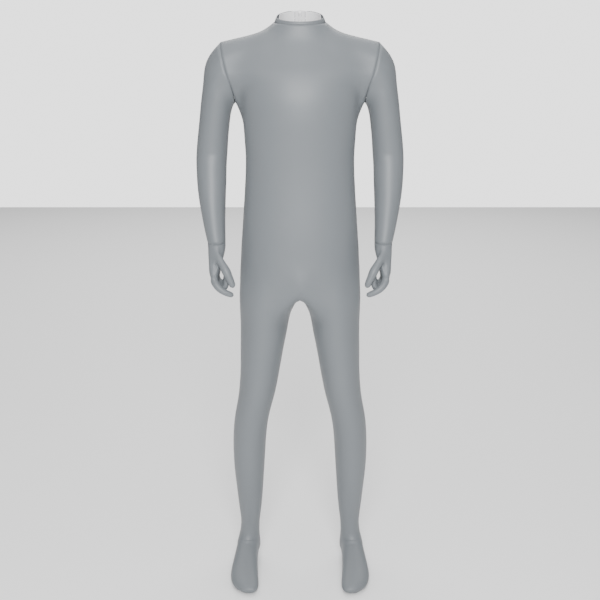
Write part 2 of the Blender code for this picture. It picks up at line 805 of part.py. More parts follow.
def split_face(points, face):
    """Triangles of a face along its shorter diagonal, the same for both sides of a wall."""
    if len(face) == 3:
        return [face]
    a, b, c, d = face
    if (points[a] - points[c]).length <= (points[b] - points[d]).length:
        return [(a, b, c), (a, c, d)]
    return [(a, b, d), (b, c, d)]


def wall_object(name, points, faces, normals, thickness, moves, border, material):
    used = sorted({index for face in faces for index in face})
    order = {index: place for place, index in enumerate(used)}
    outer = [points[index] + moves.get(index, Vector()) for index in used]
    inner = [point - normals[index] * thickness for point, index in zip(outer, used)]
    count = len(used)
    polygons = []
    for face in faces:
        for triangle in split_face(points, face):
            corners = [order[index] for index in triangle]
            polygons.append(tuple(corners))
            polygons.append(tuple(corner + count for corner in reversed(corners)))
    for start, end in border:
        first, second = order[start], order[end]
        polygons.append((second, first, first + count, second + count))
    mesh = bpy.data.meshes.new(name)
    mesh.from_pydata([tuple(point) for point in outer + inner], [], polygons)
    mesh.update()
    return link_object(name, mesh, material)


def link_object(name, mesh, material):
    item = bpy.data.objects.new(name, mesh)
    bpy.context.scene.collection.objects.link(item)
    mesh.materials.append(material)
    mesh.validate()
    return item


def make_material(name, colour, roughness, metallic=0.0):
    material = bpy.data.materials.new(name)
    material.use_nodes = True
    shader = material.node_tree.nodes["Principled BSDF"]
    shader.inputs["Base Color"].default_value = (*colour, 1.0)
    shader.inputs["Roughness"].default_value = roughness
    shader.inputs["Metallic"].default_value = metallic
    return material


def grid_object(name, rows, normals, thickness, material):
    """A closed thin strip from rows of points and their outward normals."""
    width = len(rows[0])
    points = [point for row in rows for point in row]
    flat_normals = [normal for row in normals for normal in row]
    faces = []
    for row in range(len(rows) - 1):
        for column in range(width - 1):
            first = row * width + column
            faces.append((first, first + width, first + width + 1, first + 1))
    _, border = border_moves(faces, points, lambda point: 0.0)
    return wall_object(name, points, faces, flat_normals, thickness, {}, border, material)


def inside_row(skin, normals, row, gap):
    """Points under a row of the skin, a gap below its inner side."""
    return [skin.points[index] - normals[index] * (WALL + gap) for index in row]


def build_zip(skin, normals, materials):
    zip_rows = ARMHOLE_ROWS + ZIP_BODY_ROW + 2
    for side, name in ((1, "left"), (-1, "right")):
        rows, row_normals = [], []
        for row in skin.back_rows[side][:zip_rows]:
            first, second = inside_row(skin, normals, row[:2], INSIDE_GAP)
            run = second - first
            points = [first + run * (reach / run.length) for reach in (ZIP_HALF_GAP, TAPE_WIDTH)]
            across = [normals[row[0]], normals[row[0]].lerp(normals[row[1]], 0.5).normalized()]
            rows.append(points[:: -side])
            row_normals.append(across[:: -side])
        grid_object("zip_tape_" + name, rows, row_normals, TAPE_THICKNESS, materials["tape"])
    rows, row_normals = [], []
    for row in skin.back_rows[1][:zip_rows]:
        normal = normals[row[0]]
        middle = skin.points[row[0]] - normal * CHAIN_DEPTH
        rows.append([middle + Vector((x * CHAIN_HALF_WIDTH, 0.0, 0.0)) for x in (1, 0, -1)])
        row_normals.append([normal] * 3)
    rows[0] = [lower.lerp(upper, CHAIN_TOP_SHARE) for upper, lower in zip(rows[0], rows[1])]
    grid_object("zip_chain", rows, row_normals, CHAIN_THICKNESS, materials["teeth"])


def build_facing(skin, normals, materials):
    """White facing inside the back of the neck, either side of the zip."""
    for side, name in ((1, "left"), (-1, "right")):
        rim, base, below = skin.back_rows[side][:3]
        columns = NECK_COLUMNS
        lines = [inside_row(skin, normals, row[:columns], FACING_GAP) for row in (rim, base, below)]
        lines[0] = [upper.lerp(lower, 0.06) for upper, lower in zip(lines[0], lines[1])]
        lines[2] = [
            upper.lerp(lower, drop) for upper, lower, drop in zip(lines[1], lines[2], FACING_DROPS)
        ]
        rows, row_normals = [], []
        for line, ids in zip(lines, (rim, base, below)):
            line[0] = line[0].lerp(line[1], FACING_START)
            rows.append(line[:: -side])
            row_normals.append([normals[index] for index in ids[:columns]][:: -side])
        grid_object("neck_facing_" + name, rows, row_normals, FACING_THICKNESS, materials["facing"])


def extrude_profile(name, profile, half_width, material):
    """Closed prism from an outline in the YZ plane, spread along X."""
    shape = bmesh.new()
    corners = [shape.verts.new((-half_width, y, z)) for y, z in profile]
    face = shape.faces.new(corners)
    spread = bmesh.ops.extrude_face_region(shape, geom=[face])
    moved = [item for item in spread["geom"] if isinstance(item, bmesh.types.BMVert)]
    bmesh.ops.translate(shape, verts=moved, vec=(2 * half_width, 0.0, 0.0))
    bmesh.ops.recalc_face_normals(shape, faces=shape.faces)
    mesh = bpy.data.meshes.new(name)
    shape.to_mesh(mesh)
    shape.free()
    return link_object(name, mesh, material)


def build_slider(skin, materials):
    """Slider round the top of the chain, with a bridge that carries the pull tab."""
    rim, base = (skin.points[row[0]] for row in skin.back_rows[1][:2])
    normal = (rim - base).cross(Vector((1.0, 0.0, 0.0))).normalized()
    normal = normal if normal.y > 0.0 else -normal
    lean = math.atan2(normal.z, normal.y)
    origin = base.lerp(rim, SLIDER_SHARE) - normal * (CHAIN_DEPTH + CHAIN_THICKNESS / 2)
    half_channel = CHANNEL / 2
    outer = half_channel + PLATE_THICKNESS
    half_length = SLIDER_LENGTH / 2
    nose = 0.0026
    plates = (
        (-outer, -half_length), (-half_channel, -half_length), (-half_channel, half_length - nose),
        (half_channel, half_length - nose), (half_channel, -half_length), (outer, -half_length),
        (outer, half_length), (-outer, half_length),
    )
    slider = extrude_profile("zip_slider", plates, SLIDER_WIDTH / 2, materials["slider"])
    half_bridge = BRIDGE_LENGTH / 2
    sunk = outer - PLATE_THICKNESS / 2
    arch = (
        (sunk, -half_bridge), (outer + BRIDGE_RISE, -half_bridge), (outer + BRIDGE_RISE, half_bridge),
        (sunk, half_bridge), (sunk, half_bridge - BRIDGE_BAR),
        (outer + BRIDGE_RISE - BRIDGE_BAR, half_bridge - BRIDGE_BAR),
        (outer + BRIDGE_RISE - BRIDGE_BAR, BRIDGE_BAR - half_bridge), (sunk, BRIDGE_BAR - half_bridge),
    )
    bridge = extrude_profile("bridge_cutter", arch, BRIDGE_WIDTH / 2, materials["slider"])
    bridge.hide_render = True
    bridge.display_type = "WIRE"
    union = slider.modifiers.new("bridge", "BOOLEAN")
    union.operation = "UNION"
    union.object = bridge
    union.solver = "EXACT"
    for item in (slider, bridge):
        item.location = origin
        item.rotation_euler = (lean, 0.0, 0.0)
    hinge_y = outer + (BRIDGE_RISE - BRIDGE_BAR) / 2
    hinge = origin + Vector((0.0, hinge_y * math.cos(lean), hinge_y * math.sin(lean)))
    build_tab(hinge, materials["tab"])


def build_tab(hinge, material):
    """Flat pull tab with a window at its top bar, its origin on the hinge."""
    shape = bmesh.new()
    half_width, half_thickness, half_bar = TAB_WIDTH / 2, TAB_THICKNESS / 2, TAB_BAR / 2
    window = BRIDGE_WIDTH / 2 + 0.0006
    heights = (half_bar, -half_bar, -half_bar - TAB_WINDOW, -TAB_LENGTH)
    lefts = (-half_width, -window, window, half_width)
    grid = [[shape.verts.new((x, 0.0, z)) for x in lefts] for z in heights]
    faces = []
    for row in range(3):
        for column in range(3):
            if row == 1 and column == 1:
                continue
            corners = (
                grid[row][column], grid[row + 1][column],
                grid[row + 1][column + 1], grid[row][column + 1],
            )
            faces.append(shape.faces.new(corners))
    spread = bmesh.ops.extrude_face_region(shape, geom=faces)
    moved = [item for item in spread["geom"] if isinstance(item, bmesh.types.BMVert)]
    bmesh.ops.translate(shape, verts=moved, vec=(0.0, TAB_THICKNESS, 0.0))
    bmesh.ops.translate(shape, verts=shape.verts, vec=(0.0, -half_thickness, 0.0))
    bmesh.ops.recalc_face_normals(shape, faces=shape.faces)
    mesh = bpy.data.meshes.new("pull_tab")
    shape.to_mesh(mesh)
    shape.free()
    tab = link_object("pull_tab", mesh, material)
    tab.location = hinge


def main():
    for item in list(bpy.data.objects):
        bpy.data.objects.remove(item, do_unlink=True)
    grey = (0.27, 0.29, 0.30)
    materials = {
        "tape": make_material("zip_tape_white", (0.82, 0.82, 0.83), 0.80),
        "teeth": make_material("zip_teeth_white", (0.85, 0.85, 0.86), 0.40),
        "slider": make_material("zip_slider_white", (0.84, 0.84, 0.85), 0.35),
        "tab": make_material("pull_tab_white", (0.84, 0.84, 0.85), 0.35),
        "facing": make_material("neck_facing_white", (0.85, 0.85, 0.86), 0.75),
    }
    skin = Skin()
    rows = half_points()
    for side in (1, -1):
        front_row, back_row, armhole, armhole_points = build_body(skin, side, rows)
        build_leg(skin, side, front_row, back_row, rows[0][-1][0], rows[1][-1][0])
        wrist = build_sleeve(skin, side, armhole, armhole_points)
        build_glove(skin, side, wrist)
    normals = vertex_normals(skin.points, skin.pieces)
    steer_normals(skin, normals)
    for piece, faces in skin.pieces.items():
        moves, border = border_moves(faces, skin.points, seam_distance)
        material = make_material(piece + "_spandex", grey, 0.55)
        wall_object(piece, skin.points, faces, normals, WALL, moves, border, material)
    build_zip(skin, normals, materials)
    build_facing(skin, normals, materials)
    build_slider(skin, materials)


main()
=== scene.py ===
"""Full body spandex suit with gloves, feet, a mock neck and a zip at the back.

Metres, +Z up, the front faces -Y. The origin is at the shoulders, where the suit hangs on its wearer.
"""
import math

import bmesh
import bpy
import numpy as np
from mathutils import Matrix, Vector
from mathutils.bvhtree import BVHTree


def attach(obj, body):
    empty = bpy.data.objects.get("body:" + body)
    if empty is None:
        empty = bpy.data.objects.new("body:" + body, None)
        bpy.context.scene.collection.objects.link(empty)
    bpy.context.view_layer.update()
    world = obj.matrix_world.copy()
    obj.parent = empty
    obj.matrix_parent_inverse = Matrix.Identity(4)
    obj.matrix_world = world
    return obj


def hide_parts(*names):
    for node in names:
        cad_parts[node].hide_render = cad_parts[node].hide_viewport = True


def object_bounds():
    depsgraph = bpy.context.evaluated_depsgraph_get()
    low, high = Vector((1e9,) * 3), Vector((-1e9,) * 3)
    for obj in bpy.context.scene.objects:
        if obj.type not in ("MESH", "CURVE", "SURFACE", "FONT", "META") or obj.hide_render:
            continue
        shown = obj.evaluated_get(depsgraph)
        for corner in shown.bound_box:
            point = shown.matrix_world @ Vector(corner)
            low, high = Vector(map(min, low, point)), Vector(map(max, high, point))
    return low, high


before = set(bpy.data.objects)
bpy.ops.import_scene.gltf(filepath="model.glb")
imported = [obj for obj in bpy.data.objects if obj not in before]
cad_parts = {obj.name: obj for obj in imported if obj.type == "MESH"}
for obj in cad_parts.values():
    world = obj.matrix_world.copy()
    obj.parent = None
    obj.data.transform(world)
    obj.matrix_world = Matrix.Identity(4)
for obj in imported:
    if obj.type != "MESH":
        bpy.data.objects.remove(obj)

CAD_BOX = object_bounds()
SUIT = "suit"

# Camera
# A straight view from the front, a little above the chest and tilted down,
# as far away as a full figure needs.
CAMERA_PLACE = (0.0, -2.5, -0.05)
CAMERA_DIP = 13.33
CAMERA_LENS = 55.56
CAMERA_SENSOR = 36.0

camera_data = bpy.data.cameras.new("camera")
camera_data.lens = CAMERA_LENS
camera_data.sensor_width = CAMERA_SENSOR
camera = bpy.data.objects.new("camera", camera_data)
camera.location = CAMERA_PLACE
camera.rotation_euler = (math.radians(90.0 - CAMERA_DIP), 0.0, 0.0)
bpy.context.collection.objects.link(camera)
bpy.context.scene.camera = camera


# Shader maths
# One class carries a socket, so that a pattern is written as sums and products.
class Pattern:
    """A value inside a material, with arithmetic that adds Math nodes."""

    def __init__(self, material, socket):
        self.material = material
        self.socket = socket

    def _math(self, operation, first, second=0.0):
        return self.material.node(
            "ShaderNodeMath", {"operation": operation}, {0: first, 1: second}
        )

    def __add__(self, other):
        return self._math("ADD", self, other)

    __radd__ = __add__

    def __mul__(self, other):
        return self._math("MULTIPLY", self, other)

    __rmul__ = __mul__

    def __sub__(self, other):
        return self._math("SUBTRACT", self, other)

    def __rsub__(self, other):
        return self._math("SUBTRACT", other, self)

    def sine(self):
        return self._math("SINE", self)


class Finish:
    """A material with a Principled shader and one method that adds any node."""

    def __init__(self, name, **constants):
        self.material = bpy.data.materials.new(name)
        self.material.use_nodes = True
        self.nodes = self.material.node_tree.nodes
        self.links = self.material.node_tree.links
        self.shader = self.nodes["Principled BSDF"]
        for socket, value in constants.items():
            self.shader.inputs[socket.replace("_", " ").title()].default_value = value

    def node(self, kind, settings=None, sockets=None, output=0):
        made = self.nodes.new(kind)
        for key, value in (settings or {}).items():
            setattr(made, key, value)
        for key, value in (sockets or {}).items():
            self.feed(made.inputs[key], value)
        return Pattern(self, made.outputs[output])

    def feed(self, socket, value):
        if isinstance(value, Pattern):
            self.links.new(value.socket, socket)
        else:
            socket.default_value = value

    def place(self):
        return self.node("ShaderNodeTexCoord", output="Object")

    def split(self, vector):
        parts = self.nodes.new("ShaderNodeSeparateXYZ")
        self.feed(parts.inputs[0], vector)
        return [Pattern(self, parts.outputs[axis]) for axis in range(3)]

    def noise(self, scale, detail=2.0, vector=None):
        sockets = {"Vector": vector or self.place(), "Scale": scale, "Detail": detail}
        return self.node("ShaderNodeTexNoise", {}, sockets, "Fac")

    def blend(self, share, first, second):
        mixer = self.nodes.new("ShaderNodeMix")
        mixer.data_type = "RGBA"
        self.feed(mixer.inputs[0], share)
        self.feed(mixer.inputs[6], first)
        self.feed(mixer.inputs[7], second)
        return Pattern(self, mixer.outputs[2])

    def bump(self, height, strength, distance):
        sockets = {"Height": height, "Strength": strength, "Distance": distance}
        self.feed(self.shader.inputs["Normal"], self.node("ShaderNodeBump", {}, sockets))

    def colour(self, value):
        self.feed(self.shader.inputs["Base Color"], value)

    def roughness(self, value):
        self.feed(self.shader.inputs["Roughness"], value)


# Front panel
# Stretch knit of polyamide and elastane, cut in one from the neck to the toes with both leg fronts,
# and overlocked to the backs, the sleeves and the neckband.
PANEL_WALL = 0.0012
MERGE = 0.00005
SMOOTHING = 2
SEAM_REACH = 0.0060
SEAM_DIP = 0.0003
HALF_GAP = 0.00022
KNIT_THICKNESS = 0.0009
GREY = (0.152, 0.166, 0.178, 1.0)
GREY_DEEP = (0.132, 0.146, 0.158, 1.0)


def knit_finish(name, grey, deep):
    """Cool grey stretch knit: fine wales up the body, a soft sheen and slight tone changes."""
    knit = Finish(name)
    knit.shader.inputs["Sheen Weight"].default_value = 0.03
    knit.shader.inputs["Sheen Roughness"].default_value = 0.45
    knit.shader.inputs["Specular IOR Level"].default_value = 0.45
    place = knit.place()
    across, depth, height = knit.split(place)
    cloud = knit.noise(9.0, 3.0)
    fine = knit.noise(900.0, 1.0)
    wales = ((across + depth) * 5200.0).sine() * 0.5 + 0.5
    courses = (height * 6400.0 + wales * 1.6).sine() * 0.5 + 0.5
    loops = wales * courses
    knit.colour(knit.blend(cloud * 0.6 + loops * 0.3, grey, deep))
    knit.roughness(0.42 + fine * 0.08 + cloud * 0.06)
    knit.bump(loops + fine * 0.5, 0.25, 0.00012)
    return knit


def select_only(piece):
    bpy.ops.object.select_all(action="DESELECT")
    piece.select_set(True)
    bpy.context.view_layer.objects.active = piece


def outer_side(node_name, piece_name, wall=PANEL_WALL):
    """A new piece from the outer side of a CAD panel, as quads."""
    shape = bmesh.new()
    shape.from_mesh(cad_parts[node_name].data)
    bmesh.ops.remove_doubles(shape, verts=shape.verts, dist=MERGE)
    rim = [
        face for face in shape.faces
        if any(abs(edge.calc_length() - wall) < MERGE for edge in face.edges)
    ]
    bmesh.ops.delete(shape, geom=rim, context="FACES")
    sheets, seen = [], set()
    for start in shape.faces:
        if start in seen:
            continue
        sheet, waiting = [], [start]
        seen.add(start)
        while waiting:
            face = waiting.pop()
            sheet.append(face)
            for edge in face.edges:
                for other in edge.link_faces:
                    if other not in seen:
                        seen.add(other)
                        waiting.append(other)
        sheets.append(sheet)
    sheets.sort(key=lambda sheet: sum(face.calc_area() for face in sheet))
    inner = [face for sheet in sheets[:-1] for face in sheet]
    bmesh.ops.delete(shape, geom=inner, context="FACES")
    bmesh.ops.join_triangles(
        shape, faces=shape.faces, angle_face_threshold=math.radians(50.0),
        angle_shape_threshold=math.radians(75.0),
    )
    mesh = bpy.data.meshes.new(piece_name)
    shape.to_mesh(mesh)
    shape.free()
    piece = bpy.data.objects.new(piece_name, mesh)
    bpy.context.collection.objects.link(piece)
    return piece


def points_of(mesh):
    flat = np.empty(len(mesh.vertices) * 3)
    mesh.vertices.foreach_get("co", flat)
    return flat.reshape(-1, 3)


def normals_of(mesh):
    flat = np.empty(len(mesh.vertices) * 3)
    mesh.vertices.foreach_get("normal", flat)
    return flat.reshape(-1, 3)


def put_points(mesh, points):
    mesh.vertices.foreach_set("co", points.ravel())
    mesh.update()


def smoothed(piece, levels):
    modifier = piece.modifiers.new("smooth", "SUBSURF")
    modifier.levels = modifier.render_levels = levels
    modifier.boundary_smooth = "PRESERVE_CORNERS"
    modifier.uv_smooth = "NONE"
    return modifier


def smooth_through(piece, levels):
    """Subdivide a sheet so that the smooth surface still passes through the CAD points."""
    wanted = points_of(piece.data)
    control = wanted.copy()
    modifier = smoothed(piece, 2)
    for _ in range(4):
        put_points(piece.data, control)
        seen = piece.evaluated_get(bpy.context.evaluated_depsgraph_get())
        reached = points_of(seen.data)[: len(wanted)]
        control = control + (wanted - reached) * 0.9
        bpy.context.view_layer.update()
    put_points(piece.data, control)
    modifier.levels = modifier.render_levels = levels
    select_only(piece)
    bpy.ops.object.modifier_apply(modifier=modifier.name)


def border_distance(mesh, reach):
    """Distance of each point to the sheet's border, and the direction out over it."""
    shape = bmesh.new()
    shape.from_mesh(mesh)
    edges = [edge for edge in shape.edges if edge.is_boundary]
    tree_points = np.array([tuple(v.co) for edge in edges for v in edge.verts])
    outward = {}
    for edge in edges:
        face = edge.link_faces[0]
        run = (edge.verts[1].co - edge.verts[0].co).normalized()
        away = (edge.verts[0].co + edge.verts[1].co) / 2 - face.calc_center_median()
        away = (away - run * away.dot(run)).normalized()
        for vert in edge.verts:
            outward.setdefault(vert.index, Vector())
            outward[vert.index] += away
    shape.free()
    points = points_of(mesh)
    distance = np.full(len(points), reach * 4)
    for start in range(0, len(points), 2000):
        part = points[start : start + 2000]
        gaps = np.linalg.norm(part[:, None, :] - tree_points[None, :, :], axis=2).min(axis=1)
        distance[start : start + 2000] = gaps
    return distance, {index: away.normalized() for index, away in outward.items()}


# Main creases. Columns: name, start, end, reach across, depth; made on both halves
CREASES = (
    ("armpit", (0.168, -0.050, -0.080), (0.118, -0.088, -0.050), 0.010, 0.0012),
    ("armpit_low", (0.160, -0.066, -0.112), (0.112, -0.096, -0.098), 0.011, 0.0009),
    ("armpit_back", (0.166, 0.060, -0.082), (0.112, 0.092, -0.056), 0.011, 0.0012),
    ("elbow_front", (0.205, -0.016, -0.240), (0.262, -0.012, -0.246), 0.007, 0.0010),
    ("elbow_front_low", (0.210, -0.022, -0.262), (0.256, -0.018, -0.254), 0.007, 0.0007),
    ("elbow_back", (0.212, 0.066, -0.236), (0.262, 0.066, -0.250), 0.009, 0.0008),
    ("groin", (0.030, -0.064, -0.636), (0.098, -0.086, -0.592), 0.010, 0.0010),
    ("groin_low", (0.034, -0.066, -0.660), (0.092, -0.086, -0.634), 0.009, 0.0007),
    ("seat", (0.026, 0.080, -0.668), (0.110, 0.096, -0.646), 0.012, 0.0012),
    ("knee_back", (0.110, 0.056, -0.962), (0.172, 0.058, -0.948), 0.009, 0.0010),
    ("knee_back_low", (0.114, 0.062, -0.986), (0.168, 0.064, -0.996), 0.009, 0.0008),
    ("ankle_front", (0.128, -0.012, -1.352), (0.172, -0.014, -1.348), 0.007, 0.0012),
    ("ankle_front_low", (0.132, -0.022, -1.372), (0.172, -0.024, -1.374), 0.006, 0.0008),
    ("heel_back", (0.132, 0.066, -1.366), (0.166, 0.066, -1.360), 0.007, 0.0009),
    ("waist_side", (0.108, -0.072, -0.262), (0.142, -0.030, -0.250), 0.010, 0.0006),
    ("small_of_back", (0.014, 0.080, -0.272), (0.110, 0.064, -0.256), 0.013, 0.0009),
)


def crease(points, normals):
    """Soft troughs with a low ridge beside each, pressed into a sheet."""
    for name, start, end, reach, depth in CREASES:
        for side in (1.0, -1.0):
            drift = 0.004 if side < 0 else 0.0
            first = np.array((start[0] * side, start[1], start[2] - drift))
            last = np.array((end[0] * side, end[1], end[2] + drift))
            run = last - first
            share = np.clip(((points - first) @ run) / (run @ run), 0.0, 1.0)
            offset = points - (first + share[:, None] * run)
            away = np.linalg.norm(offset, axis=1)
            taper = 0.25 + 0.75 * np.sin(math.pi * share)
            trough = np.exp(-((away / reach) ** 2))
            ridge = np.exp(-(((away - 1.9 * reach) / reach) ** 2))
            points = points + normals * (taper * depth * (0.45 * ridge - trough))[:, None]
    return points


def knit_panel(node_name, piece_name, finish, levels=SMOOTHING):
    """A cut piece of knit on its CAD panel's form, with its seams drawn in and its main creases."""
    piece = outer_side(node_name, piece_name)
    smooth_through(piece, levels)
    mesh = piece.data
    distance, outward = border_distance(mesh, SEAM_REACH)
    points, normals = points_of(mesh), normals_of(mesh)
    for index, away in outward.items():
        points[index] += np.array(away) * HALF_GAP
    draw = np.clip(1.0 - distance / SEAM_REACH, 0.0, 1.0) ** 2
    points -= normals * (draw * SEAM_DIP)[:, None]
    put_points(mesh, np.ascontiguousarray(crease(points, normals)))
    wall = piece.modifiers.new("wall", "SOLIDIFY")
    wall.thickness = KNIT_THICKNESS
    wall.offset = -1.0
    wall.use_quality_normals = True
    select_only(piece)
    bpy.ops.object.modifier_apply(modifier=wall.name)
    bpy.ops.object.shade_smooth()
    mesh.materials.clear()
    mesh.materials.append(finish.material)
    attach(piece, SUIT)
    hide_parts(node_name)
    return piece


spandex = knit_finish("grey_spandex_knit", GREY, GREY_DEEP)
front_panel = knit_panel("front", "front_panel", spandex)

# Back panels
# The same knit, cut as a pair from the neck to the heels, joined by the zip above
# and by the centre back seam below it.
back_panels = [
    knit_panel("back_" + side, "back_panel_" + side, spandex)
    for side in ("left", "right")
]

# Sleeves
# Set-in sleeves cut on the straight, one seam round the armhole and one at the wrist.
sleeves = [
    knit_panel("sleeve_" + side, "sleeve_panel_" + side, spandex)
    for side in ("left", "right")
]

# Gloves
# Five-fingered gloves of the same knit, sewn to the sleeves at the wrist.
gloves = [
    knit_panel("glove_" + side, "glove_panel_" + side, spandex, levels=2)
    for side in ("left", "right")
]

# Soles
# A foot bottom on each leg, joined to the instep and the heel all round.
soles = [
    knit_panel("sole_" + side, "sole_panel_" + side, spandex)
    for side in ("left", "right")
]

# Neckband
# A doubled band of the knit, folded at the top, its colour set a little darker than the body's.
BAND_GREY = (0.138, 0.150, 0.161, 1.0)
BAND_DEEP = (0.120, 0.132, 0.143, 1.0)
band_knit = knit_finish("neckband_knit", BAND_GREY, BAND_DEEP)
neckband = knit_panel("neckband", "neckband_fold", band_knit)

# Stitches
# Corespun thread, a plain row either side of the zip that holds its tapes.
STITCH_PITCH = 0.0029
STITCH_LENGTH = 0.0021
STITCH_RADIUS = 0.00016
THREAD_GREY = (0.120, 0.131, 0.141, 1.0)

thread = Finish("grey_thread", roughness=0.6)
thread_along = thread.noise(2400.0, 1.0)
thread.colour(thread.blend(thread_along, THREAD_GREY, (0.095, 0.104, 0.112, 1.0)))
thread.bump(thread_along, 0.3, 0.00008)


def surface_of(piece):
    return BVHTree.FromObject(piece, bpy.context.evaluated_depsgraph_get())


def even_line(points, pitch):
    """Points a stitch apart along an open line."""
    line, left = [points[0]], pitch
    for first, last in zip(points, points[1:]):
        length = (last - first).length
        while left < length:
            line.append(first.lerp(last, left / length))
            left += pitch
        left -= length
    return line


def one_stitch():
    """A rounded stitch a few faces fine, lying along X."""
    bpy.ops.object.select_all(action="DESELECT")
    bpy.ops.mesh.primitive_uv_sphere_add(segments=6, ring_count=4, radius=1.0)
    stitch = bpy.context.active_object
    points = points_of(stitch.data) * (STITCH_RADIUS, STITCH_RADIUS * 1.5, STITCH_LENGTH / 2)
    put_points(stitch.data, np.ascontiguousarray(points[:, [2, 1, 0]]))
    return stitch


def row_of_copies(pattern, name, places, finish):
    """Copies of one small piece at given places, each with its three directions, in one mesh."""
    shape = points_of(pattern.data)
    faces = [tuple(polygon.vertices) for polygon in pattern.data.polygons]
    points, polygons = [], []
    for origin, ahead, up in places:
        side = up.cross(ahead).normalized()
        turn = np.array((ahead, side, ahead.cross(side).normalized()))
        first = len(points) * len(shape)
        points.append(shape @ turn + np.array(origin))
        polygons += [tuple(first + corner for corner in face) for face in faces]
    mesh = bpy.data.meshes.new(name)
    mesh.from_pydata(np.concatenate(points).tolist(), [], polygons)
    made = bpy.data.objects.new(name, mesh)
    bpy.context.collection.objects.link(made)
    mesh.materials.append(finish.material)
    mesh.shade_smooth()
    bpy.data.objects.remove(pattern, do_unlink=True)
    return made


def stitched_row(name, line, tree):
    """Stitches sunk halfway into the cloth along a line on it."""
    places = []
    spots = even_line(line, STITCH_PITCH)
    for first, last in zip(spots, spots[1:]):
        spot, normal, _, _ = tree.find_nearest((first + last) / 2)
        ahead = (last - first).normalized()
        ahead = (ahead - normal * ahead.dot(normal)).normalized()
        places.append((spot + normal * STITCH_RADIUS * 0.3, ahead, normal))
    row = row_of_copies(one_stitch(), name, places, thread)
    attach(row, SUIT)
    return row


def border_line(node_name, wanted, order):
    """Points of a CAD panel that lie where wanted says, in order."""
    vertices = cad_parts[node_name].data.vertices
    points = {tuple(round(value, 5) for value in vertex.co) for vertex in vertices}
    chosen = [Vector(point) for point in points if wanted(Vector(point))]
    return sorted(chosen, key=order)


ZIP_EDGE = 0.0046
ZIP_STITCH = 0.0058
ZIP_FOOT = -0.4235
for side_name, sign, panel in (("left", 1.0, back_panels[0]), ("right", -1.0, back_panels[1])):
    edge = border_line(
        "back_" + side_name,
        lambda point: abs(point.x) < ZIP_EDGE and point.y > 0.04 and point.z > ZIP_FOOT,
        lambda point: point.z,
    )
    outer = [a for a, b in zip(edge, edge[1:] + edge[-1:]) if a.y >= b.y - 0.0004]
    line = [Vector((sign * (ZIP_STITCH + 0.0008), point.y, point.z)) for point in outer]
    stitched_row("zip_stitches_" + side_name, line, surface_of(panel))

# Zip tapes
# White woven polyester tape either side of the teeth, sewn under the folded edges of the backs.
WHITE = (0.80, 0.80, 0.81, 1.0)
WHITE_SHADE = (0.66, 0.66, 0.68, 1.0)
TAPE_WALL = 0.0006
tape_weave = Finish("white_tape_weave", roughness=0.8)
tape_across, tape_depth, tape_height = tape_weave.split(tape_weave.place())
twill = ((tape_height + tape_across) * 7800.0).sine() * 0.5 + 0.5
tape_weave.colour(tape_weave.blend(twill * 0.5, WHITE, WHITE_SHADE))
tape_weave.roughness(0.74 + twill * 0.1)
tape_weave.bump(twill, 0.35, 0.00010)


def white_strip(node_name, piece_name, wall, finish):
    """A thin white strip inside the back, smooth through its CAD points."""
    strip = outer_side(node_name, piece_name, wall)
    smooth_through(strip, 3)
    modifier = strip.modifiers.new("wall", "SOLIDIFY")
    modifier.thickness = wall * 0.8
    modifier.offset = -1.0
    select_only(strip)
    bpy.ops.object.modifier_apply(modifier=modifier.name)
    bpy.ops.object.shade_smooth()
    strip.data.materials.clear()
    strip.data.materials.append(finish.material)
    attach(strip, SUIT)
    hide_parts(node_name)
    return strip


for side_name in ("left", "right"):
    white_strip(
        "zip_tape_" + side_name, "zip_tape_weave_" + side_name, TAPE_WALL,
        tape_weave,
    )

# Zip teeth
# White moulded teeth in pairs that mesh on the centre line, each set clamped on its tape's corded edge.
TOOTH_PITCH = 0.00150
TOOTH_REACH = 0.00245
TOOTH_HEIGHT = 0.00105
CHAIN_WALL = 0.0014
tooth_white = Finish("white_teeth_plastic", roughness=0.38)
tooth_grain = tooth_white.noise(700.0, 2.0)
tooth_white.colour(tooth_white.blend(tooth_grain * 0.4, (0.83, 0.83, 0.84, 1.0), WHITE_SHADE))
tooth_white.bump(tooth_grain, 0.15, 0.00005)

core = outer_side("zip_chain", "zip_tape_edges", CHAIN_WALL)
smooth_through(core, 3)
chain_points, chain_normals = points_of(core.data), normals_of(core.data)
middle = np.abs(chain_points[:, 0]) < 0.0002
middle_line = sorted(
    (Vector(point) for point in chain_points[middle].tolist()), key=lambda point: point.z
)
middle_normals = {}
for point, normal in zip(chain_points[middle].tolist(), chain_normals[middle].tolist()):
    middle_normals[round(point[2], 5)] = Vector(normal)
put_points(core.data, chain_points - chain_normals * (CHAIN_WALL * 0.62))
core_wall = core.modifiers.new("wall", "SOLIDIFY")
core_wall.thickness = 0.0004
core_wall.offset = -1.0
select_only(core)
bpy.ops.object.modifier_apply(modifier=core_wall.name)
bpy.ops.object.shade_smooth()
core.data.materials.clear()
core.data.materials.append(tape_weave.material)
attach(core, SUIT)

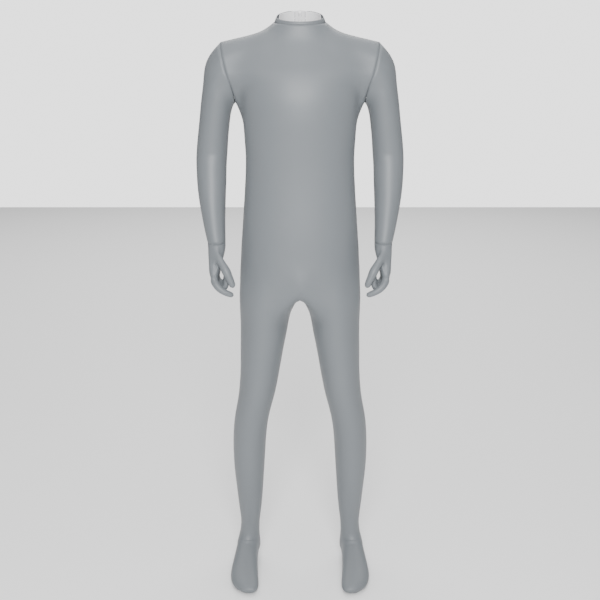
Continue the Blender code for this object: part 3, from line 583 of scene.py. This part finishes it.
bpy.ops.object.select_all(action="DESELECT")
bpy.ops.mesh.primitive_cube_add(size=1.0)
tooth = bpy.context.active_object
tooth.scale = (TOOTH_PITCH * 0.62, TOOTH_REACH, TOOTH_HEIGHT)
bpy.ops.object.transform_apply(location=False, rotation=False, scale=True)
tooth_bevel = tooth.modifiers.new("round", "BEVEL")
tooth_bevel.width = 0.00018
tooth_bevel.segments = 1
bpy.ops.object.modifier_apply(modifier=tooth_bevel.name)
tooth_places = []
tooth_spots = even_line(middle_line, TOOTH_PITCH / 2)
for number, (first, last) in enumerate(zip(tooth_spots, tooth_spots[1:])):
    near = min(middle_normals, key=lambda height: abs(height - first.z))
    normal = middle_normals[near]
    sign = 1.0 if number % 2 else -1.0
    seat = first - normal * (CHAIN_WALL * 0.40) + Vector((sign * TOOTH_REACH * 0.34, 0.0, 0.0))
    tooth_places.append((seat, (last - first).normalized(), normal))
teeth = row_of_copies(tooth, "zip_teeth", tooth_places, tooth_white)
teeth.data.shade_flat()
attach(teeth, SUIT)
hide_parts("zip_chain")

# Slider and pull tab
# A small white enamelled slider at the top of the zip, its flat tab hanging from the bridge.
enamel = Finish("white_enamel", roughness=0.30, coat_weight=0.3, coat_roughness=0.12)
enamel_grain = enamel.noise(260.0, 3.0)
enamel.colour(enamel.blend(enamel_grain * 0.35, (0.82, 0.82, 0.83, 1.0), (0.70, 0.70, 0.71, 1.0)))
enamel.roughness(0.26 + enamel_grain * 0.12)
for hard_name in ("zip_slider", "pull_tab"):
    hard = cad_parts[hard_name]
    hard.data.materials.clear()
    hard.data.materials.append(enamel.material)
    weld = hard.modifiers.new("weld", "WELD")
    weld.merge_threshold = 0.00001
    rounding = hard.modifiers.new("round", "BEVEL")
    rounding.width = 0.00018
    rounding.segments = 2
    rounding.limit_method = "ANGLE"
    rounding.angle_limit = math.radians(40.0)

# Neck facing
# White brushed tricot inside the back of the neck, either side of the zip, so that it doesn't scratch.
FACING_WALL = 0.0008
tricot = Finish("white_tricot", roughness=0.85)
tricot_across, tricot_depth, tricot_height = tricot.split(tricot.place())
ribs = ((tricot_across + tricot_depth) * 4200.0).sine() * 0.5 + 0.5
tricot.colour(tricot.blend(ribs * 0.35, (0.84, 0.84, 0.85, 1.0), WHITE_SHADE))
tricot.bump(ribs + tricot.noise(800.0), 0.3, 0.00012)
for side_name in ("left", "right"):
    white_strip(
        "neck_facing_" + side_name, "neck_facing_tricot_" + side_name, FACING_WALL,
        tricot,
    )

# Lights
# A large soft box above the camera, a wide one over the floor and a white room round both.
SOFT_BOXES = (
    ("key_box", (0.0, -3.4, 0.9), (0.0, 0.0, -0.60), 1.3, 205.0),
    ("floor_box", (0.0, -0.2, 2.6), (0.0, -0.2, -1.45), 3.6, 80.0),
    ("far_floor_box", (0.0, 5.0, 3.2), (0.0, 5.0, -1.45), 7.0, 420.0),
)
ROOM_LIGHT = 0.30
ROOM_WHITE = 2.3
for box_name, box_place, box_target, box_size, box_power in SOFT_BOXES:
    box_data = bpy.data.lights.new(box_name, "AREA")
    box_data.size = box_size
    box_data.energy = box_power
    box = bpy.data.objects.new(box_name, box_data)
    box.location = box_place
    aim = Vector(box_target) - Vector(box_place)
    box.rotation_euler = aim.to_track_quat("-Z", "Y").to_euler()
    bpy.context.collection.objects.link(box)

world = bpy.data.worlds.new("white_room")
world.use_nodes = True
room_nodes, room_links = world.node_tree.nodes, world.node_tree.links
room_light = room_nodes["Background"]
room_light.inputs["Color"].default_value = (1.0, 1.0, 1.0, 1.0)
room_light.inputs["Strength"].default_value = ROOM_LIGHT
room_wall = room_nodes.new("ShaderNodeBackground")
room_wall.inputs["Color"].default_value = (1.0, 1.0, 1.0, 1.0)
room_wall.inputs["Strength"].default_value = ROOM_WHITE
room_mix = room_nodes.new("ShaderNodeMixShader")
room_links.new(room_nodes.new("ShaderNodeLightPath").outputs["Is Camera Ray"], room_mix.inputs[0])
room_links.new(room_light.outputs[0], room_mix.inputs[1])
room_links.new(room_wall.outputs[0], room_mix.inputs[2])
room_links.new(room_mix.outputs[0], room_nodes["World Output"].inputs[0])
bpy.context.scene.world = world

# Floor
# A plain pale floor under the soles.
FLOOR_HEIGHT = CAD_BOX[0][2] - 0.002
bpy.ops.object.select_all(action="DESELECT")
bpy.ops.mesh.primitive_plane_add(size=16.0, location=(0.0, 0.0, FLOOR_HEIGHT))
floor = bpy.context.active_object
floor.name = "floor"
floor_finish = Finish("pale_floor", roughness=0.9)
floor_grain = floor_finish.noise(60.0, 3.0)
floor_finish.colour(floor_finish.blend(floor_grain * 0.2, (0.90, 0.90, 0.90, 1.0), (0.86, 0.86, 0.86, 1.0)))
floor.data.materials.append(floor_finish.material)
